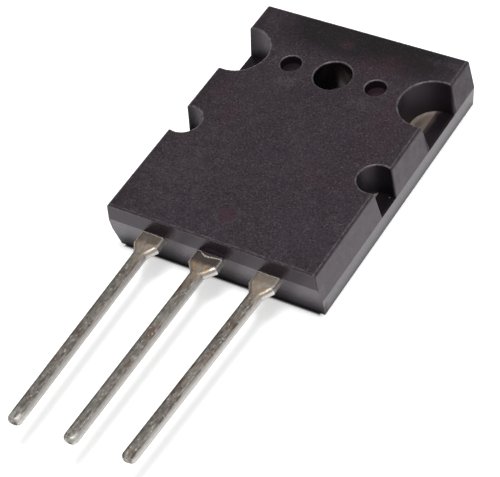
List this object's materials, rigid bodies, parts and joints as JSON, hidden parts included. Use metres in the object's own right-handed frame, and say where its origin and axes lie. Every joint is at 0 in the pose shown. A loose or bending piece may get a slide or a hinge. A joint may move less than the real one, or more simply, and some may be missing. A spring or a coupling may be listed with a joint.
{
  "type": "power transistor",
  "caption": "Power transistor in a flat black moulded body with a bare metal back plate, a screw hole, side notches and straight leads in a row.",
  "frame": {"origin": "the mounting hole's axis where it leaves the back face", "axes": "+Z out of the front face, +Y along the body away from the leads, +X to the right seen from the front with the leads down"},
  "size_m": [0.02, 0.0463, 0.005],
  "materials": {
    "resin": "fine matt moulded epoxy",
    "plated_copper": "plated copper, dull and lightly stained",
    "tinned_copper": "tinned copper, tarnished in blotches",
    "solder": "dull solder",
    "silicon": "polished silicon",
    "wire": "drawn aluminium"
  },
  "bodies": {
    "root": {"moulded_body": "resin", "collector_plate": "plated_copper", "base_lead": "tinned_copper", "emitter_lead": "tinned_copper", "die_solder": "solder", "silicon_chip": "silicon", "base_wire": "wire", "emitter_wire": "wire"}
  },
  "joints": []
}
